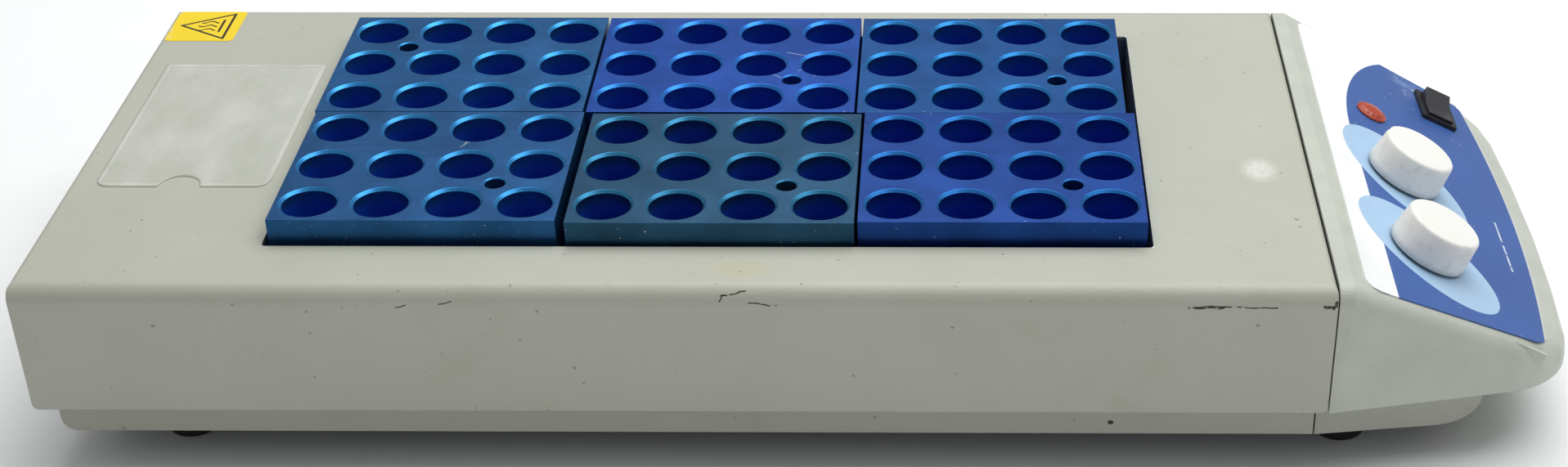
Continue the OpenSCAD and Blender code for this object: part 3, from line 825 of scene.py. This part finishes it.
@dataclass
class Panel:
    """The sloped control panel's own frame, worked out from the upper knob's joint."""

    knob_down: float = 34.6
    knob_across: float = -3.2
    lamp: Point = (29.1, 40.5)
    film: float = 0.4
    out: Vector = field(init=False)
    down: Vector = field(init=False)
    tilt: float = field(init=False)
    origin: Vector = field(init=False)

    def __post_init__(self) -> None:
        """Finds the panel's origin and slope."""
        hinge = next(joint for joint in frame["joints"] if joint["name"] == "knob_high_hinge")
        self.out = Vector(hinge["axis"]).normalized()
        self.down = Vector((self.out.z, 0, -self.out.x))
        self.tilt = math.atan2(self.out.x, self.out.z)
        self.origin = Vector(hinge["pos_m"]) - self.down * self.knob_down * MM
        self.origin.y -= self.knob_across * MM

    def stand(self, piece: bpy.types.Object, down: float, across: float, out: float) -> None:
        """Places a piece made around Z on the panel, by working the place into its mesh.

        Args:
            piece: the piece.
            down: its place down the slope.
            across: its place across the panel.
            out: its height above the panel.
        """
        where = self.origin + (self.down * down + Vector((0, across, 0)) + self.out * out) * MM
        piece.data.transform(Matrix.Translation(where) @ Matrix.Rotation(self.tilt, 4, "Y"))


@dataclass
class ControlEnd:
    """Knobs, lamp lens and printed film of the control end."""

    panel: Panel = field(default_factory=Panel)
    knob_radius: float = 14.2
    knob_height: float = 12.0
    knob_gap: float = 1.0
    knob_pitch: float = 52.1
    lens_radius: float = 6.0
    dent_depth: float = 0.5
    # cosine of half the dent's angle
    dent_reach: float = 0.985
    skirt_wobble: float = 0.05

    def build(self) -> list[bpy.types.Object]:
        """Makes the knobs and the lamp's lens.

        Returns:
            The three pieces.
        """
        return [self.knob(Marking.HIGH), self.knob(Marking.LOW), self.lens()]

    def knob(self, which: Marking) -> bpy.types.Object:
        """Makes one hollow tapered knob with a rounded, slightly worn rim.

        Args:
            which: the dial that it belongs to.

        Returns:
            The knob.
        """
        foot, top = self.knob_radius, self.knob_height
        crown = foot - 0.75
        outline = [(3.1, 3.2), (6.4, 3.2), (foot - 2.1, 3.2), (foot - 1.8, 0.3), (foot - 1.5, 0.0)]
        outline += [(foot - 0.3, 0.0), (foot, 0.3), (foot - 0.2, 3.0), (foot - 0.4, 6.5), (crown, top - 1.4)]
        outline += arc((crown - 1.4, top - 1.35), 1.35, 8, 90, 7)
        outline += [(crown - 5, top), (crown - 9, top - 0.05), (0.4, top - 0.08)]
        dent_at = math.radians(-62 if which is Marking.LOW else 150)

        def wear(angle: float, radius: float, height: float) -> float:
            """A shallow dent in the rim, and a barely uneven skirt.

            Args:
                angle: place around the knob.
                radius: the ring's radius.
                height: the ring's height.

            Returns:
                The extra radius.
            """
            if height < 5 or radius < foot - 3:
                return 0.0
            near = max(0.0, math.cos(angle - dent_at) - self.dent_reach) / (1 - self.dent_reach)
            return -self.dent_depth * near - self.skirt_wobble * (1 + math.sin(7 * angle)) / 2

        across = self.panel.knob_across - (self.knob_pitch if which is Marking.LOW else 0.0)
        gap = self.panel.film + self.knob_gap
        start = self.panel.origin / MM + self.panel.down * self.panel.knob_down + self.panel.out * gap
        finish = WornKnob(f"knob_{which.value}_plastic", shade(247, 246, 241), depth=0.05,
                          axis=tuple(self.panel.out), foot=tuple(start))
        piece = placed(f"knob_{which.value}_body", turned(outline, 128, wear), finish.material())
        self.panel.stand(piece, self.panel.knob_down, across, gap)
        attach(piece, f"knob_{which.value}_turn")
        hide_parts(f"knob_{which.value}")
        return piece

    def lens(self) -> bpy.types.Object:
        """Makes the lamp's flanged lens with a ribbed dome.

        Returns:
            The lens.
        """
        rim = self.lens_radius
        outline = [(0.5, 0.0), (rim - 0.3, 0.0), (rim, 0.25), (rim, 0.6)]
        outline += arc((rim - 0.5, 0.6), 0.5, 0, 90, 4)
        outline += [(rim - 1.1, 1.0), (rim - 1.3, 1.25)] + [
            ((rim - 1.4) * math.cos(a), 1.25 + 1.1 * math.sin(a)) for a in (0.2, 0.45, 0.7, 0.95, 1.2, 1.42)
        ]

        def ribs(angle: float, radius: float, height: float) -> float:
            """Fine ribs on the dome, by the same three values as a knob's wear."""
            return 0.16 * math.cos(14 * angle) if 1.2 < height and radius > 1.5 else 0.0

        finish = Finish("lamp_lens_plastic", shade(176, 70, 46), 0.22, 0.0, 0.9, 0.06)
        piece = placed("pilot_lens_dome", turned(outline, 112, ribs), finish.material())
        self.panel.stand(piece, *self.panel.lamp, self.panel.film)
        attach(piece, "chassis")
        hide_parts("pilot_lens")
        return piece

    def film_finish(self) -> PanelPrint:
        """Works out the print of the panel's film.

        Returns:
            The finish.
        """
        knobs = ((self.panel.knob_down, self.panel.knob_across),
                 (self.panel.knob_down, self.panel.knob_across - self.knob_pitch))
        return PanelPrint("panel_film_print", shade(60, 97, 166), depth=0.03,
                          origin=tuple(self.panel.origin / MM), tilt=self.panel.tilt, knobs=knobs)


@dataclass
class CardPocket:
    """The clear pocket for a card, stuck on the cover behind the blocks."""

    corner: float = 5.0
    notch_radius: float = 7.3
    notch_at: float = -219.3
    film: float = 0.3
    # width of the weld that lies flat, of the slope inside it, and the height of the ripples
    flat: float = 1.6
    slope: float = 9.0
    ripples: float = 0.28
    columns: int = 72
    rows: int = 64

    def near_edge(self, x: float, low: Vector, high: Vector) -> float:
        """The near edge's place across the body, with its rounded corners and thumb notch.

        Args:
            x: place along the body in millimetres.
            low: lowest corner of the pocket.
            high: highest corner of the pocket.

        Returns:
            The place in millimetres.
        """
        edge = low.y
        side = min(x - low.x, high.x - x)
        if side < self.corner:
            edge += self.corner - math.sqrt(max(0.0, self.corner ** 2 - (self.corner - side) ** 2))
        off = abs(x - self.notch_at)
        if off < self.notch_radius:
            edge += math.sqrt(self.notch_radius ** 2 - off ** 2)
        return edge

    def build(self) -> bpy.types.Object:
        """Makes the film as one rippled sheet that lies on the cover.

        Returns:
            The sheet.
        """
        low, high = (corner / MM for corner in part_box("card_pocket"))
        mesh = bmesh.new()
        grid = []
        for i in range(self.columns + 1):
            x = low.x + (high.x - low.x) * i / self.columns
            near = self.near_edge(x, low, high)
            column = []
            for j in range(self.rows + 1):
                y = near + (high.y - near) * j / self.rows
                inset = min(x - low.x, high.x - x, y - low.y, high.y - y)
                lift = min(1.0, max(0.0, (inset - self.flat) / self.slope))
                ripple = math.sin(0.31 * x + 0.9 * math.sin(0.11 * y)) * 0.5 + 0.5
                ripple += 0.4 * math.sin(0.17 * y + 0.05 * x)
                z = low.z + 0.04 + lift * self.ripples * max(0.0, ripple)
                column.append(mesh.verts.new((x * MM, y * MM, z * MM)))
            grid.append(column)
        for left, right in zip(grid, grid[1:]):
            for j in range(self.rows):
                mesh.faces.new((left[j], right[j], right[j + 1], left[j + 1]))
        finish = ClearFilm("pocket_vinyl", shade(226, 228, 217), depth=0.35)
        piece = placed("card_pocket_film", mesh, finish.material())
        thick = piece.modifiers.new("thickness", "SOLIDIFY")
        thick.thickness = self.film * MM
        thick.offset = 1.0
        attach(piece, "chassis")
        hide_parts("card_pocket")
        return piece


@dataclass
class Wardrobe:
    """The finish of every material slot of the CAD model."""

    control: ControlEnd
    slots: dict[str, Finish] = field(default_factory=dict)

    def __post_init__(self) -> None:
        """Lists the finishes by material slot."""
        finishes = {
            "cover_paint": PaintedSheet(
                "cover_textured_paint", shade(186, 188, 175), 0.46, 0.0, 1.1, 0.09, 0.5, cut_edges=True),
            # painted shade: the base pan has the cover's paint, made darker
            "base_paint": PaintedSheet(
                "base_textured_paint_shaded", shade(176, 178, 166), 0.5, 0.0, 1.1, 0.09, 0.5),
            "black_paint": Finish("plate_black_paint", shade(24, 24, 26), 0.55, 0.0, 0.9, 0.05, 0.3),
            "bare_aluminium": Finish("mill_aluminium", shade(176, 179, 182), 0.38, 0.9, 0.5, 0.02),
            "zinc_steel": Finish("zinc_plated_steel", shade(170, 172, 172), 0.36, 0.9, 0.7, 0.02, 0.2),
            "foot_rubber": Finish("foot_moulded_rubber", shade(20, 20, 21), 0.7, 0.0, 0.6, 0.05, 0.4),
            "silicone_mat": Finish("mat_silicone", shade(168, 82, 46), 0.6, 0.0, 1.5, 0.05),
            "fibre": Finish("ceramic_fibre", shade(228, 222, 206), 0.95, 0.0, 1.8, 0.3),
            "black_plastic": Finish("black_nylon", shade(26, 26, 28), 0.45, 0.0, 0.8, 0.03, 0.3),
            "brown_wire": Finish("brown_wire_sleeve", shade(112, 62, 40), 0.4, 0.0, 1.0, 0.02),
            "white_wire": Finish("white_wire_sleeve", shade(220, 216, 204), 0.5, 0.0, 0.5, 0.03),
            "white_nylon": Finish("clip_nylon", shade(230, 228, 218), 0.45, 0.0, 0.8, 0.02, 0.2),
            "brass_stud": Finish("turned_brass", shade(196, 156, 80), 0.3, 0.95, 0.5, 0.02),
            "housing_plastic": Finish(
                "housing_moulded_plastic", shade(193, 197, 186), 0.47, 0.0, 0.95, 0.08, 0.4),
            "base_plastic": Finish(
                "base_moulded_plastic", shade(170, 172, 160), 0.5, 0.0, 0.95, 0.08, 0.4),
            "board_green": Finish("solder_mask", shade(42, 98, 56), 0.35, 0.0, 3.0, 0.02),
            "terminal_green": Finish("terminal_plastic", shade(60, 130, 78), 0.45, 0.0, 0.8, 0.02),
            "control_grey": Finish("thermostat_casing", shade(78, 78, 82), 0.5, 0.2, 0.8, 0.02),
            "switch_black": Finish("switch_bezel_plastic", shade(30, 30, 33), 0.42, 0.0, 0.7, 0.03, 0.4),
            "rocker_black": Finish("rocker_plastic", shade(48, 48, 52), 0.36, 0.0, 0.7, 0.02, 0.5),
            "label_yellow": HeatLabel("heat_label_print", shade(254, 222, 34), depth=0.06),
            "panel_print": self.control.film_finish(),
        }
        dyes = {
            "a": ("block_back_left", shade(38, 100, 158), ()),
            "b": ("block_back_middle", shade(34, 82, 172), (
                (16, -8, 22, -13), (26, -6, 31, -1), (30, 3, 38, -6),
                (21, 9, 29, 6), (32, -10, 34, -2), (40, 8, 43, 1))),
            "c": ("block_back_right", shade(30, 88, 154), ()),
            "d": ("block_front_left", shade(38, 94, 150), ((8, 12, 13, 20), (9, 14, 11, 21))),
            "e": ("block_front_middle", shade(38, 82, 114), ()),
            "f": ("block_front_right", shade(26, 70, 148), ()),
        }
        for letter, (node, dye, scratched) in dyes.items():
            finishes[f"anodised_{letter}"] = AnodisedBlock(
                f"anodised_{letter}_dye", dye, 0.36, 0.82, 0.5, 0.03, 0.35,
                node=node, scratched=scratched)
        self.slots.update(finishes)

    def dress(self) -> int:
        """Puts each finish on the CAD nodes of its slot.

        Returns:
            How many nodes were dressed.
        """
        made: dict[str, bpy.types.Material] = {}
        shown = 0
        for part in frame["record"]["subparts"]:
            node = frame["nodes"][part["node"]]
            wanted = part["material_slot"]
            if node.hide_render or wanted not in self.slots:
                continue
            if wanted not in made:
                made[wanted] = self.slots[wanted].material()
            if not node.material_slots:
                node.data.materials.append(made[wanted])
            for place in node.material_slots:
                place.material = made[wanted]
            shown += 1
        return shown


@dataclass(frozen=True)
class SoftLight:
    """One soft rectangular light, in metres and watts, that faces the middle of the object."""

    name: str
    at: tuple[float, float, float]
    size: Point
    power: float
    aim: tuple[float, float, float] = (0.0, 0.0, 0.05)

    def hang(self) -> None:
        """Adds the light to the scene."""
        light = bpy.data.lights.new(self.name, "AREA")
        light.shape = "RECTANGLE"
        light.size, light.size_y = self.size
        light.energy = self.power
        lamp = bpy.data.objects.new(self.name, light)
        lamp.location = self.at
        lamp.rotation_euler = (Vector(self.aim) - Vector(self.at)).to_track_quat("-Z", "Y").to_euler()
        bpy.context.scene.collection.objects.link(lamp)


@dataclass(frozen=True)
class Studio:
    """A pale floor, soft light from above and a camera that looks down along the body."""

    floor_half: float = 4.0
    floor_drop: float = 0.0002
    sky: float = 0.3
    sky_colour: tuple[float, float, float, float] = (0.97, 0.99, 1.0, 1.0)
    lights: tuple[SoftLight, ...] = (
        SoftLight("key_light", (0.3, 0.4, 1.35), (1.9, 1.2), 24.0),
        SoftLight("front_fill", (0.3, -1.9, 0.9), (1.6, 0.9), 0.3),
    )
    camera_at: tuple[float, float, float] = (0.04769, -0.75311, 0.47867)
    camera_turn: tuple[float, float, float] = (56.772, 0.281, 0.697)
    lens: float = 55.15
    sensor: float = 36.0
    shift: Point = (-0.0904, 0.0675)

    def build(self) -> None:
        """Makes the floor, the lights, the sky and the camera."""
        self.lay_floor()
        for light in self.lights:
            light.hang()
        world = bpy.data.worlds.new("studio_sky")
        world.use_nodes = True
        background = world.node_tree.nodes["Background"]
        background.inputs["Color"].default_value = self.sky_colour
        background.inputs["Strength"].default_value = self.sky
        bpy.context.scene.world = world
        bpy.context.scene.view_settings.view_transform = "Standard"
        self.aim_camera()

    def lay_floor(self) -> None:
        """Lays the pale floor just under the object's feet."""
        paper = Finish("floor_paper", shade(252, 253, 254), 0.8, 0.0, 3.0, 0.02, mottle=0.01)
        mesh = bmesh.new()
        bmesh.ops.create_grid(mesh, x_segments=4, y_segments=4, size=self.floor_half)
        floor = placed("studio_floor", mesh, paper.material())
        floor.location.z = -self.floor_drop

    def aim_camera(self) -> None:
        """Sets up the camera."""
        lens = bpy.data.cameras.new("camera")
        lens.lens, lens.sensor_width = self.lens, self.sensor
        lens.shift_x, lens.shift_y = self.shift
        lens.clip_start = 0.05
        camera = bpy.data.objects.new("camera", lens)
        camera.location = self.camera_at
        camera.rotation_euler = Euler([math.radians(turn) for turn in self.camera_turn], "XYZ")
        bpy.context.scene.collection.objects.link(camera)
        bpy.context.scene.camera = camera


def main() -> None:
    """Builds the studio and the object."""
    logging.basicConfig(level=logging.INFO, format="%(name)s: %(message)s")
    Studio().build()
    control = ControlEnd()
    for piece in control.build():
        log.info("made %s", piece.name)
    log.info("made %s", CardPocket().build().name)
    log.info("dressed %d CAD nodes", Wardrobe(control).dress())


if __name__ == "__main__":
    main()
